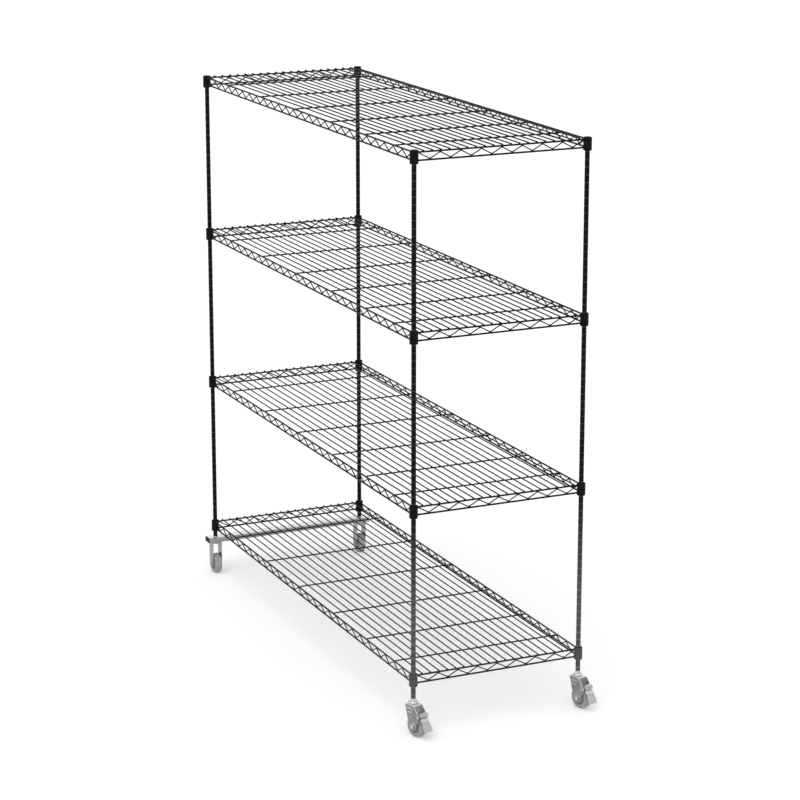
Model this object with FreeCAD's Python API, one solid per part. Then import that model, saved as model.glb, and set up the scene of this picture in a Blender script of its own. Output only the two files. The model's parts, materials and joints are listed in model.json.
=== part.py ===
"""Mobile wire shelving unit: four welded wire shelves clamped on four grooved posts, with two braked
swivel casters at the front and two rigid casters under a bar at the rear.

Frame: millimetres, floor at z = 0, origin on the floor midway between the four posts.
X runs across the short side, left to right. Y runs along the length, front to rear. Z is up.
"""
import FreeCAD
import Part
import math
import os

V = FreeCAD.Vector
X_AXIS = V(1, 0, 0)
Y_AXIS = V(0, 1, 0)
Z_AXIS = V(0, 0, 1)

# Clearances
fit = 0.05              # radial gap of a turning or sliding fit
seat = 0.02             # radial gap of a pressed or moulded-on seat
weld_sink = 0.4         # depth that welded wires sink into each other
same = 0.01             # lengths closer than this count as equal

# Unit
post_spacing_x = 610.0
post_spacing_y = 1829.0
shelf_names = ["bottom", "lower", "upper", "top"]
shelf_spacing_grooves = 23

# Posts
post_diameter = 16.0
post_wall = 1.2
groove_pitch = 25.0
groove_depth = 0.6
groove_width = 1.6
groove_flare = 0.7
post_foot_to_shelf = 63.0
post_top_over_shelf = 19.5
cap_head = 2.5
cap_round = 1.5
cap_set_back = 0.1
cap_plug_length = 14.0
insert_flange = 2.0
insert_length = 30.0

# Split sleeves and shelf collars
sleeve_wall_top = 3.0
sleeve_wall_bottom = 4.4
sleeve_over_collar = 1.0
sleeve_under_collar = 1.0
sleeve_split = 1.0
collar_height = 42.0
collar_diameter = 28.5
collar_round = 1.0

# Shelf wires, heights from the middle of the collar
chord_wire = 6.0
snake_wire = 4.0
deck_wire = 4.6
cross_wire = 5.0
upper_chord_z = 14.0
lower_chord_z = -12.0
deck_wire_count = 19
deck_overhang = 1.5
snake_pitch = 70.0
snake_bend_radius = 9.0
slope_rounds = 10       # steps that settle the slope of the zigzag
cross_wire_steps = [149.0, 233.0, 285.0, 311.0, 316.0, 313.0]

# Caster wheels, the same on all four casters
wheel_diameter = 75.0
wheel_width = 25.0
tread_thickness = 8.0
tread_shoulder = 3.5
core_web = 9.0
core_rim = 5.0
core_hub_diameter = 24.0
core_hub_gap = 0.8
axle_diameter = 8.0
bush_wall = 2.0
axle_hex = 13.0
axle_head_height = 5.0
axle_nut_height = 6.5
axle_tail = 2.5

# Caster forks
fork_gap = 33.0
fork_plate = 2.5
crown_plate = 3.0
crown_over_wheel = 32.0
fork_bend_radius = 4.5
axle_lobe_radius = 14.0
fork_knee_radius = 8.0
fork_knee_over_axle = 15.0
swivel_knee_reach = 16.0
rigid_knee_reach = 10.0
crown_corner_radius = 4.0
crown_lead = 19.0
crown_tail = 24.0
rigid_crown_reach = 20.5

# Swivel of the front casters
caster_trail = 20.0
caster_heading = -75.0          # degrees from +X to the trailing side
stem_diameter = 10.0
stem_hex = 22.0
stem_hex_height = 7.0
ball_diameter = 5.0
ball_ring_diameter = 24.0
ball_count = 14
race_plate = 2.9
race_skirt = 1.6
race_skirt_gap = 0.2
race_floor_gap = 0.5
king_nut_hex = 17.0
king_nut_height = 8.0
king_nut_gap = 0.1
king_tail = 1.5

# Brake of the front casters, angles and gaps measured from the wheel's centre and rim
brake_press = 15.0
brake_pivot_angle = 57.0
brake_pivot_gap = 6.5
brake_pin_diameter = 5.0
brake_pin_head = 8.0
brake_pin_head_height = 1.6
brake_ear_radius = 7.0
brake_boss_radius = 5.0
brake_cheek = 2.0
brake_cheek_gap = 1.2
brake_plate = 2.5
brake_arm_angles = [46.0, 30.0, 17.0]
brake_arm_gaps = [10.5, 11.0, 12.0]
pedal_angle = -4.5
pedal_gap = 22.0
pedal_width = 34.0
tab_angles = [67.0, 57.0, 46.0]
tab_gaps = [16.7, 23.2, 17.7]
shoe_angles = [36.0, 19.0]
shoe_width = 20.0
shoe_press_gap = 0.4

# Bar under the rear posts
bar_width = 41.0
bar_height = 20.0
bar_wall = 2.0
bar_overhang = 32.0
bar_corner = 2.5
bar_plug_head = 3.0
bar_plug_depth = 12.0
stem_bolt_hex = 17.0
stem_bolt_head = 7.0

# Worked out from the sizes above
wheel_radius = wheel_diameter / 2
fork_outside = fork_gap + 2 * fork_plate
crown_top = wheel_diameter + crown_over_wheel + crown_plate
race_floor = crown_top + ball_diameter + 2 * fit
caster_height = race_floor + race_plate + stem_hex_height
front_post_foot = caster_height + insert_flange
rear_post_foot = caster_height + bar_height + insert_flange
first_shelf_z = front_post_foot + post_foot_to_shelf
shelf_heights = [first_shelf_z + i * shelf_spacing_grooves * groove_pitch for i in range(len(shelf_names))]
post_top = shelf_heights[-1] + post_top_over_shelf
post_bore = post_diameter - 2 * post_wall
sleeve_length = sleeve_over_collar + collar_height + sleeve_under_collar
sleeve_bore = post_diameter + 2 * fit
post_places = {
    "front_left": (-post_spacing_x / 2, -post_spacing_y / 2),
    "front_right": (post_spacing_x / 2, -post_spacing_y / 2),
    "rear_left": (-post_spacing_x / 2, post_spacing_y / 2),
    "rear_right": (post_spacing_x / 2, post_spacing_y / 2),
}
sides = ["left", "right"]


def cylinder(diameter, start, end):
    """Round bar between two points."""
    along = end - start
    return Part.makeCylinder(diameter / 2, along.Length, start, along)


def hexagon(across_flats, height, base, axis):
    """Hexagonal prism standing on base along axis."""
    corner = across_flats / math.sqrt(3)
    corners = [V(corner * math.cos(math.radians(60 * i)), corner * math.sin(math.radians(60 * i)), 0)
               for i in range(7)]
    prism = Part.Face(Part.makePolygon(corners)).extrude(V(0, 0, height))
    prism.Placement = FreeCAD.Placement(base, FreeCAD.Rotation(Z_AXIS, axis))
    return prism


def turned(profile):
    """Solid of revolution about Z from (radius, z) points."""
    points = [V(r, 0, z) for r, z in profile]
    face = Part.Face(Part.makePolygon(points + points[:1]))
    return face.revolve(V(0, 0, 0), Z_AXIS, 360)


def belt(circles):
    """Outline in the XZ plane round (x, z, radius) circles, listed anticlockwise seen from the front."""
    normals = []
    for (x1, z1, r1), (x2, z2, r2) in zip(circles, circles[1:] + circles[:1]):
        span = math.hypot(x2 - x1, z2 - z1)
        ex, ez = (x2 - x1) / span, (z2 - z1) / span
        along = (r1 - r2) / span
        across = math.sqrt(1 - along * along)
        normals.append(V(across * ez + along * ex, 0, -across * ex + along * ez))
    edges = []
    for i, (x, z, radius) in enumerate(circles):
        centre = V(x, 0, z)
        arrive, leave = normals[i - 1], normals[i]
        start = math.atan2(arrive.z, arrive.x)
        half_turn = (math.atan2(leave.z, leave.x) - start) % (2 * math.pi) / 2
        middle = V(math.cos(start + half_turn), 0, math.sin(start + half_turn))
        edges.append(Part.Arc(centre + arrive * radius, centre + middle * radius,
                              centre + leave * radius).toShape())
        x2, z2, radius2 = circles[(i + 1) % len(circles)]
        edges.append(Part.makeLine(centre + leave * radius, V(x2, 0, z2) + leave * radius2))
    return Part.Wire(edges)


def slab(outline, y_start, y_end):
    """Plate from an outline in the XZ plane, between two Y values."""
    face = Part.Face(outline)
    face.translate(V(0, y_start, 0))
    return face.extrude(V(0, y_end - y_start, 0))


def strip(points, thickness, width):
    """Bent sheet of even thickness along (x, z) points, centred on y = 0, with round bends."""
    pieces = []
    for (x1, z1), (x2, z2) in zip(points, points[1:]):
        pieces.append(slab(belt([(x1, z1, thickness / 2), (x2, z2, thickness / 2)]), -width / 2, width / 2))
    return fused(pieces)


def fused(shapes):
    """One clean solid from shapes that meet."""
    return shapes[0].multiFuse(shapes[1:]).removeSplitter()


def placed(shape, x, y, turn=0.0):
    """Copy turned about Z and moved to a post's place."""
    copy = shape.copy()
    copy.Placement = FreeCAD.Placement(V(x, y, 0), FreeCAD.Rotation(Z_AXIS, turn)).multiply(copy.Placement)
    return copy


def save(node, shape):
    """Write one node, after testing that every solid in it is sound."""
    if not shape.isValid() or any(solid.Volume <= 0 for solid in shape.Solids):
        raise ValueError("unsound solid in " + node)
    shape.exportStep(os.path.join("parts", node + ".step"))
    print(node, len(shape.Solids), round(shape.Volume))


def make_post(foot):
    """Tube with a ring groove at every step, the grooves lined up with the shelves."""
    outer = post_diameter / 2
    profile = [(post_bore / 2, foot), (outer, foot)]
    steps_below = int((first_shelf_z - foot - groove_width) // groove_pitch)
    z = first_shelf_z - steps_below * groove_pitch
    half = groove_width / 2
    while z < post_top - groove_width:
        profile += [(outer, z - half - groove_flare), (outer - groove_depth, z - half),
                    (outer - groove_depth, z + half), (outer, z + half + groove_flare)]
        z += groove_pitch
    profile += [(outer, post_top), (post_bore / 2, post_top)]
    return turned(profile)


def make_cap():
    """Domed cap with a plug that sits in the top of a post."""
    plug = post_bore / 2 - seat
    rim = post_diameter / 2 - cap_set_back
    foot = post_top - cap_plug_length
    body = turned([(0, foot), (plug, foot), (plug, post_top), (rim, post_top),
                   (rim, post_top + cap_head), (0, post_top + cap_head)])
    rim_edges = [e for e in body.Edges if e.Closed and abs(e.BoundBox.ZMin - post_top - cap_head) < same]
    return body.makeFillet(cap_round, rim_edges)


def make_insert(foot):
    """Threaded insert pressed into the foot of a post, with a flange under the tube."""
    bore = stem_diameter / 2 + fit
    body = post_bore / 2 - seat
    flange = post_diameter / 2
    return turned([(bore, foot - insert_flange), (flange, foot - insert_flange), (flange, foot),
                   (body, foot), (body, foot + insert_length), (bore, foot + insert_length)])


def sleeve_radius(z):
    """Outside radius of a sleeve at a height from the middle of its collar."""
    top = collar_height / 2 + sleeve_over_collar
    share = (top - z) / sleeve_length
    wall = sleeve_wall_top + (sleeve_wall_bottom - sleeve_wall_top) * share
    return sleeve_bore / 2 + wall


def make_sleeve_halves():
    """Two half shells round a post, with a rib that drops into one groove."""
    top = collar_height / 2 + sleeve_over_collar
    foot = top - sleeve_length
    bore = sleeve_bore / 2
    rib = groove_width / 2 - 2 * fit
    shell = turned([(bore, foot), (sleeve_radius(foot), foot), (sleeve_radius(top), top), (bore, top),
                    (bore, rib), (bore - groove_depth, rib), (bore - groove_depth, -rib), (bore, -rib)])
    reach = 2 * sleeve_radius(foot)
    slot = Part.makeBox(sleeve_split, 2 * reach, sleeve_length, V(-sleeve_split / 2, -reach, foot))
    return shell.cut(slot)


def collar_radius(z):
    """Inside radius of a shelf collar at a height from its middle."""
    return sleeve_radius(z) + fit


def make_collar():
    """Ring with a tapered bore that wedges down on the sleeves."""
    half = collar_height / 2
    outer = collar_diameter / 2
    shoulder = half - collar_round
    return turned([(collar_radius(-half), -half), (outer - collar_round, -half), (outer, -shoulder),
                   (outer, shoulder), (outer - collar_round, half), (collar_radius(half), half)])


def snake_slope(drop, half_wave):
    """Slope of the straight runs, so that the round bends just reach the full drop."""
    slope = math.atan2(drop, half_wave)
    for _ in range(slope_rounds):
        slope = math.atan2(drop + 2 * snake_bend_radius * (1 / math.cos(slope) - 1), half_wave)
    return slope


def make_snake(span):
    """Zigzag wire along X between the chords, centred on x = 0, bent with round corners.

    The seam of its skin lies on the side, clear of the chords.
    """
    quarter_turn = 90.0
    reach = (chord_wire + snake_wire) / 2 - weld_sink
    high = upper_chord_z - reach
    low = lower_chord_z + reach
    half_waves = 2 * max(1, round(span / snake_pitch))
    half_wave = span / half_waves
    slope = snake_slope(high - low, half_wave)
    corner_rise = snake_bend_radius * (1 / math.cos(slope) - 1)
    bend_half = snake_bend_radius * math.sin(slope)
    start = V(-span / 2, 0, high + corner_rise)
    edges = []
    for i in range(1, half_waves):
        x = -span / 2 + i * half_wave
        bend, side = (low, -1) if i % 2 else (high, 1)
        arc_end_z = bend + side * (corner_rise - bend_half * math.tan(slope))
        first = V(x - bend_half, 0, arc_end_z)
        last = V(x + bend_half, 0, arc_end_z)
        edges.append(Part.makeLine(start, first))
        edges.append(Part.Arc(first, V(x, 0, bend), last).toShape())
        start = last
    edges.append(Part.makeLine(start, V(span / 2, 0, high + corner_rise)))
    along = edges[0].tangentAt(edges[0].FirstParameter)
    begin = edges[0].Vertexes[0].Point
    ring = Part.makeCircle(snake_wire / 2, begin, along)
    ring.rotate(begin, along, quarter_turn)
    return Part.Wire(edges).makePipeShell([Part.Wire(ring)], True, False)


def make_truss(span):
    """Upper and lower chord with the snake between them, along X, ending in the collar walls."""
    chords = []
    for z in (upper_chord_z, lower_chord_z):
        end = span / 2 - (collar_radius(z) + collar_diameter / 2) / 2
        chords.append(cylinder(chord_wire, V(-end, 0, z), V(end, 0, z)))
    clear = collar_diameter / 2 + snake_wire
    return chords + [make_snake(span - 2 * clear)]


def make_shelf():
    """One welded shelf, with the middle of its collars at z = 0."""
    half_x = post_spacing_x / 2
    half_y = post_spacing_y / 2
    deck_z = upper_chord_z + (chord_wire + deck_wire) / 2 - weld_sink
    cross_z = deck_z - (deck_wire + cross_wire) / 2 + weld_sink
    wires = []
    pitch = post_spacing_x / (deck_wire_count + 1)
    reach = half_y + chord_wire / 2 + deck_overhang
    for i in range(1, deck_wire_count + 1):
        x = -half_x + i * pitch
        wires.append(cylinder(deck_wire, V(x, -reach, deck_z), V(x, reach, deck_z)))
    y = -half_y
    for step in cross_wire_steps:
        y += step
        wires.append(cylinder(cross_wire, V(-half_x, y, cross_z), V(half_x, y, cross_z)))
    for y in (-half_y, half_y):
        wires += [placed(wire, 0, y) for wire in make_truss(post_spacing_x)]
    for x in (-half_x, half_x):
        wires += [placed(wire, x, 0, 90) for wire in make_truss(post_spacing_y)]
    collars = [placed(make_collar(), x, y) for x, y in post_places.values()]
    return fused(collars + wires)


def make_tread():
    """Solid tyre with rounded shoulders, about the Z axis."""
    half = wheel_width / 2
    inner = wheel_radius - tread_thickness
    body = turned([(inner, -half), (wheel_radius, -half), (wheel_radius, half), (inner, half)])
    shoulders = [e for e in body.Edges if e.Closed and abs(e.Curve.Radius - wheel_radius) < same]
    return body.makeFillet(tread_shoulder, shoulders)


def make_core():
    """Moulded wheel core with rim, web and hub, about the Z axis."""
    bore = axle_diameter / 2 + fit + bush_wall + fit
    hub = core_hub_diameter / 2
    rim_out = wheel_radius - tread_thickness - seat
    rim_in = rim_out - core_rim
    half_hub = fork_gap / 2 - core_hub_gap
    half_rim = wheel_width / 2
    half_web = core_web / 2
    return turned([(bore, -half_hub), (hub, -half_hub), (hub, -half_web), (rim_in, -half_web),
                   (rim_in, -half_rim), (rim_out, -half_rim), (rim_out, half_rim), (rim_in, half_rim),
                   (rim_in, half_web), (hub, half_web), (hub, half_hub), (bore, half_hub)])


def make_bush():
    """Tube clamped between the fork plates, on which the wheel turns, about the Z axis."""
    bore = axle_diameter / 2 + fit
    half = fork_gap / 2 - seat
    return turned([(bore, -half), (bore + bush_wall, -half), (bore + bush_wall, half), (bore, half)])


def make_axle_bolt():
    """Hexagon bolt through both fork plates, along Z with its head at the low end."""
    half = fork_outside / 2
    head = hexagon(axle_hex, axle_head_height, V(0, 0, -half - axle_head_height), Z_AXIS)
    shank = cylinder(axle_diameter, V(0, 0, -half), V(0, 0, half + axle_nut_height + axle_tail))
    return fused([head, shank])


def make_axle_nut():
    """Lock nut on the axle bolt, at the high end of Z."""
    half = fork_outside / 2
    nut = hexagon(axle_hex, axle_nut_height, V(0, 0, half), Z_AXIS)
    hole = cylinder(axle_diameter + 2 * fit, V(0, 0, half), V(0, 0, half + axle_nut_height))
    return nut.cut(hole)


def on_axle(shape, trail):
    """Copy with its Z axis laid along Y at the wheel's centre."""
    copy = shape.copy()
    copy.Placement = FreeCAD.Placement(V(trail, 0, wheel_radius), FreeCAD.Rotation(Z_AXIS, Y_AXIS))
    return copy


def make_fork(outline, top, trail):
    """Stamped fork: a folded channel, open below, trimmed to the side outline."""
    half = fork_outside / 2
    box = outline.BoundBox
    length = box.XLength
    channel = Part.makeBox(length, 2 * half, top - box.ZMin, V(box.XMin, -half, box.ZMin))
    bends = [e for e in channel.Edges if e.BoundBox.ZMin > top - same and e.BoundBox.YLength < same]
    channel = channel.makeFillet(fork_bend_radius, bends)
    under = top - crown_plate
    gap = Part.makeBox(length, fork_gap, under - box.ZMin, V(box.XMin, -fork_gap / 2, box.ZMin))
    folds = [e for e in gap.Edges if e.BoundBox.ZMin > under - same and e.BoundBox.YLength < same]
    gap = gap.makeFillet(fork_bend_radius - fork_plate, folds)
    axle_hole = cylinder(axle_diameter + 2 * fit, V(trail, -half, wheel_radius), V(trail, half, wheel_radius))
    stem_hole = cylinder(stem_diameter + 2 * fit, V(0, 0, under), V(0, 0, top))
    return channel.cut(gap).common(slab(outline, -half, half)).cut(axle_hole).cut(stem_hole)


def from_wheel(angle, gap):
    """Point (x, z) at an angle about the swivel caster's wheel and a gap from its rim."""
    reach = wheel_radius + gap
    turn = math.radians(angle)
    return caster_trail + reach * math.cos(turn), wheel_radius + reach * math.sin(turn)


def make_swivel_fork():
    """Fork of a swivel caster, with ears for the brake pin."""
    pivot_x, pivot_z = from_wheel(brake_pivot_angle, brake_pivot_gap)
    corner = crown_corner_radius
    outline = belt([
        (caster_trail, wheel_radius, axle_lobe_radius),
        (pivot_x, pivot_z, brake_ear_radius),
        (crown_tail - corner, crown_top - corner, corner),
        (corner - crown_lead, crown_top - corner, corner),
        (caster_trail - swivel_knee_reach, wheel_radius + fork_knee_over_axle, fork_knee_radius),
    ])
    half = fork_outside / 2
    pin_hole = cylinder(brake_pin_diameter + 2 * seat, V(pivot_x, -half, pivot_z), V(pivot_x, half, pivot_z))
    return make_fork(outline, crown_top, caster_trail).cut(pin_hole)


def make_rigid_fork():
    """Fork of a rigid caster, its wheel straight under the post."""
    corner = crown_corner_radius
    edge = rigid_crown_reach - corner
    outline = belt([
        (0, wheel_radius, axle_lobe_radius),
        (rigid_knee_reach, wheel_radius + fork_knee_over_axle, fork_knee_radius),
        (edge, caster_height - corner, corner),
        (-edge, caster_height - corner, corner),
        (-rigid_knee_reach, wheel_radius + fork_knee_over_axle, fork_knee_radius),
    ])
    return make_fork(outline, caster_height, 0)


def make_stem():
    """Threaded stem with a hexagon under the post and a king pin through the fork's crown."""
    hex_foot = caster_height - stem_hex_height
    king_foot = crown_top - crown_plate - king_nut_gap - king_nut_height - king_tail
    shank_top = caster_height + insert_flange + insert_length
    body = hexagon(stem_hex, stem_hex_height, V(0, 0, hex_foot), Z_AXIS)
    return fused([body, cylinder(stem_diameter, V(0, 0, king_foot), V(0, 0, shank_top))])


def make_race_cup():
    """Upper race: a plate on the balls with a skirt round them."""
    bore = stem_diameter / 2 + seat
    skirt_in = (ball_ring_diameter + ball_diameter) / 2 + race_skirt_gap
    skirt_out = skirt_in + race_skirt
    top = race_floor + race_plate
    return turned([(bore, race_floor), (skirt_in, race_floor), (skirt_in, crown_top + race_floor_gap),
                   (skirt_out, crown_top + race_floor_gap), (skirt_out, top), (bore, top)])


def make_balls():
    """Ring of bearing balls on the fork's crown."""
    radius = ball_ring_diameter / 2
    centre_z = crown_top + fit + ball_diameter / 2
    balls = []
    for i in range(ball_count):
        turn = 2 * math.pi * i / ball_count
        balls.append(Part.makeSphere(ball_diameter / 2,
                                     V(radius * math.cos(turn), radius * math.sin(turn), centre_z)))
    return Part.makeCompound(balls)


def make_king_nut():
    """Nut on the king pin that holds the fork up."""
    top = crown_top - crown_plate - king_nut_gap
    nut = hexagon(king_nut_hex, king_nut_height, V(0, 0, top - king_nut_height), Z_AXIS)
    hole = cylinder(stem_diameter + 2 * seat, V(0, 0, top - king_nut_height), V(0, 0, top))
    return nut.cut(hole)


def make_brake_pin():
    """Headed pin across the fork's ears."""
    x, z = from_wheel(brake_pivot_angle, brake_pivot_gap)
    half = fork_outside / 2
    head = half + brake_pin_head_height
    return fused([
        cylinder(brake_pin_diameter, V(x, -head, z), V(x, head, z)),
        cylinder(brake_pin_head, V(x, -head, z), V(x, -half, z)),
        cylinder(brake_pin_head, V(x, half, z), V(x, head, z)),
    ])


def make_brake_pedal():
    """Brake lever: two cheeks on the pin, an arm behind the wheel, a foot pedal and a hooked release tab."""
    pivot_x, pivot_z = from_wheel(brake_pivot_angle, brake_pivot_gap)
    arm = [from_wheel(angle, gap) for angle, gap in zip(brake_arm_angles, brake_arm_gaps)]
    pedal = [arm[-1], from_wheel(pedal_angle, pedal_gap)]
    tab = [from_wheel(angle, gap) for angle, gap in zip(tab_angles, tab_gaps)]
    half = fork_gap / 2 - brake_cheek_gap
    round_end = brake_plate / 2
    pieces = [strip(arm, brake_plate, 2 * half), strip(pedal, brake_plate, pedal_width),
              strip(tab, brake_plate, 2 * half)]
    for far, near in ((arm[1], arm[0]), (tab[1], tab[0])):
        cheek = belt([(pivot_x, pivot_z, brake_boss_radius), (*far, round_end), (*near, round_end)])
        pieces += [slab(cheek, half - brake_cheek, half), slab(cheek, -half, brake_cheek - half)]
    hole = cylinder(brake_pin_diameter + 2 * fit, V(pivot_x, -half, pivot_z), V(pivot_x, half, pivot_z))
    return fused(pieces).cut(hole)


def make_brake_shoe(pedal):
    """Shoe under the lever's arm, hollowed to lie along the tread when the pedal is pressed."""
    pivot_x, pivot_z = from_wheel(brake_pivot_angle, brake_pivot_gap)
    half = shoe_width / 2
    start, end = [math.radians(angle) for angle in shoe_angles]
    outer = wheel_radius + max(brake_arm_gaps)
    fan = [V(caster_trail, -half, wheel_radius)]
    for turn in (start, (start + end) / 2, end):
        fan.append(V(caster_trail + outer * math.cos(turn), -half, wheel_radius + outer * math.sin(turn)))
    block = Part.Face(Part.makePolygon(fan + fan[:1])).extrude(V(0, 2 * half, 0))
    tread = cylinder(wheel_diameter + 2 * shoe_press_gap, V(caster_trail, -half, wheel_radius),
                     V(caster_trail, half, wheel_radius))
    tread.rotate(V(pivot_x, 0, pivot_z), Y_AXIS, -brake_press)
    pieces = block.cut(tread).cut(pedal).Solids
    inner = [s for s in pieces if s.distToShape(Part.Vertex(caster_trail, 0, wheel_radius))[0]
             < wheel_radius + min(brake_arm_gaps) - brake_plate / 2]
    return max(inner, key=lambda solid: solid.Volume)


def make_bar():
    """Box section under the rear posts, along X, with a stem hole under each post."""
    length = post_spacing_x + 2 * bar_overhang
    y = post_spacing_y / 2
    outer = Part.makeBox(length, bar_width, bar_height, V(-length / 2, y - bar_width / 2, caster_height))
    outer = outer.makeFillet(bar_corner, [e for e in outer.Edges if e.BoundBox.XLength > length / 2])
    inner = Part.makeBox(length, bar_width - 2 * bar_wall, bar_height - 2 * bar_wall,
                         V(-length / 2, y - bar_width / 2 + bar_wall, caster_height + bar_wall))
    bar = outer.cut(inner)
    for x in (-post_spacing_x / 2, post_spacing_x / 2):
        foot = V(x, y, caster_height)
        bar = bar.cut(cylinder(stem_diameter + 2 * fit, foot, foot + V(0, 0, bar_height)))
    return bar


def make_bar_plugs():
    """Plugs in the two ends of the bar."""
    y = post_spacing_y / 2
    face = post_spacing_x / 2 + bar_overhang
    tight = bar_wall + seat
    plugs = []
    for side in (-1, 1):
        head = Part.makeBox(bar_plug_head, bar_width, bar_height, V(face, y - bar_width / 2, caster_height))
        head = head.makeFillet(bar_corner, [e for e in head.Edges if e.BoundBox.XMin > face
                                            or e.BoundBox.XLength > bar_plug_head / 2])
        tongue = Part.makeBox(bar_plug_depth, bar_width - 2 * tight, bar_height - 2 * tight,
                              V(face - bar_plug_depth, y - bar_width / 2 + tight, caster_height + tight))
        plug = fused([head, tongue])
        plugs.append(plug if side > 0 else plug.mirror(V(0, 0, 0), X_AXIS))
    return Part.makeCompound(plugs)


def make_stem_bolt():
    """Bolt up through the rigid fork and the bar into the insert of a rear post."""
    foot = caster_height - crown_plate - stem_bolt_head
    top = caster_height + bar_height + insert_flange + insert_length
    head = hexagon(stem_bolt_hex, stem_bolt_head, V(0, 0, foot), Z_AXIS)
    return fused([head, cylinder(stem_diameter, V(0, 0, foot + stem_bolt_head), V(0, 0, top))])


def save_frame():
    """Posts with their caps and inserts, shelves with their sleeves, and the rear bar."""
    cap = make_cap()
    for corner, (x, y) in post_places.items():
        foot = front_post_foot if corner.startswith("front") else rear_post_foot
        save("post_" + corner, placed(make_post(foot), x, y))
        save("post_cap_" + corner, placed(cap, x, y))
        save("post_insert_" + corner, placed(make_insert(foot), x, y))
    shelf = make_shelf()
    halves = make_sleeve_halves()
    sleeves = Part.makeCompound([placed(halves, x, y) for x, y in post_places.values()])
    for name, height in zip(shelf_names, shelf_heights):
        save("shelf_" + name, shelf.translated(V(0, 0, height)))
        save("sleeves_" + name, sleeves.translated(V(0, 0, height)))
    save("rear_bar", make_bar())
    save("rear_bar_plugs", make_bar_plugs())


def save_front_casters():
    """Swivel casters under the front posts, trailing towards the front and a little to the right."""
    pedal = make_brake_pedal()
    pieces = {
        "caster_stem": make_stem(),
        "race_cup": make_race_cup(),
        "swivel_balls": make_balls(),
        "king_nut": make_king_nut(),
        "swivel_fork": make_swivel_fork(),
        "front_axle_bolt": on_axle(make_axle_bolt(), caster_trail),
        "front_axle_nut": on_axle(make_axle_nut(), caster_trail),
        "front_axle_bush": on_axle(make_bush(), caster_trail),
        "front_wheel_core": on_axle(make_core(), caster_trail),
        "front_tread": on_axle(make_tread(), caster_trail),
        "brake_pin": make_brake_pin(),
        "brake_pedal": pedal,
        "brake_shoe": make_brake_shoe(pedal),
    }
    for side in sides:
        x, y = post_places["front_" + side]
        for name, shape in pieces.items():
            save(name + "_" + side, placed(shape, x, y, caster_heading))


def save_rear_casters():
    """Rigid casters under the rear bar, rolling along the length of the unit."""
    rolling = 90.0
    pieces = {
        "rigid_fork": make_rigid_fork(),
        "rear_axle_bush": on_axle(make_bush(), 0),
        "rear_wheel_core": on_axle(make_core(), 0),
        "rear_tread": on_axle(make_tread(), 0),
    }
    fasteners = {
        "rear_stem_bolts": make_stem_bolt(),
        "rear_axle_bolts": on_axle(make_axle_bolt(), 0),
        "rear_axle_nuts": on_axle(make_axle_nut(), 0),
    }
    places = [post_places["rear_" + side] for side in sides]
    for side, (x, y) in zip(sides, places):
        for name, shape in pieces.items():
            save(name + "_" + side, placed(shape, x, y, rolling))
    for name, shape in fasteners.items():
        save(name, Part.makeCompound([placed(shape, x, y, rolling) for x, y in places]))


os.makedirs("parts", exist_ok=True)
save_frame()
save_front_casters()
save_rear_casters()
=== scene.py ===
"""Dresses the mobile wire shelving unit: a finish on every solid, modelled caps, wheels, fasteners, weld
beads and caster pressings, and a white studio with the photograph's camera."""
import json
import math

import bmesh
import bpy
from bpy.props import FloatProperty, FloatVectorProperty, IntProperty, PointerProperty
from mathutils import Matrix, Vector


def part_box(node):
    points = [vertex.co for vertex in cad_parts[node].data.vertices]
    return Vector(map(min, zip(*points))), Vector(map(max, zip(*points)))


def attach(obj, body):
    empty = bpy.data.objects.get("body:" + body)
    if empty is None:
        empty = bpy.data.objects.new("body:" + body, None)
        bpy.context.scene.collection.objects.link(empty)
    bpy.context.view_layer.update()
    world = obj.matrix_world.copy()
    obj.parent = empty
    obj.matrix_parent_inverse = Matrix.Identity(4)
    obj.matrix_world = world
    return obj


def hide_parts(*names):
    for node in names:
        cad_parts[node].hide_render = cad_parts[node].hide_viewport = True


bl_info = {
    "name": "Mobile wire shelving",
    "version": (1, 0, 0),
    "blender": (4, 5, 0),
    "location": "3D View > Sidebar > Shelving",
    "description": "Finishes, small pieces and studio for a wire shelving unit on casters",
    "category": "Object",
}

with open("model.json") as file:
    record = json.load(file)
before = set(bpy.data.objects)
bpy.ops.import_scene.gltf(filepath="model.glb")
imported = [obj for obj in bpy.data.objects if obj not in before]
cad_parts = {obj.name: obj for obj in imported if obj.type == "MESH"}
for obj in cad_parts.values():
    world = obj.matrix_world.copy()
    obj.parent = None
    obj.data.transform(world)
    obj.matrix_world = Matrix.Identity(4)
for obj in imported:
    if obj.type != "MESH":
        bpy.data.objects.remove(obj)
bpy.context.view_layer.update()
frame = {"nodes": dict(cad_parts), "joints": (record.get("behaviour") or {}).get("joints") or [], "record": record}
record = frame["record"]
joints = {joint["name"]: joint for joint in frame["joints"]}

MM = 0.001
SIDES = ("left", "right")
CORNERS = ("front_left", "front_right", "rear_left", "rear_right")
SHELVES = ("bottom", "lower", "upper", "top")
SMOOTH_ANGLE = math.radians(32)
MERGE = 0.002 * MM
NOISE_RANGE = (0.3, 0.7)     # where most of a noise texture's values lie
FACES_UP = 0.9               # least upward part of the normal of a top face
CHAMFER = math.radians(30)   # slope of a hexagon's turned corners


def middle(node):
    """Middle of a solid's box."""
    low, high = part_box(node)
    return (low + high) / 2


def extent(node):
    """Size of a solid's box."""
    low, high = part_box(node)
    return high - low


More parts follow.
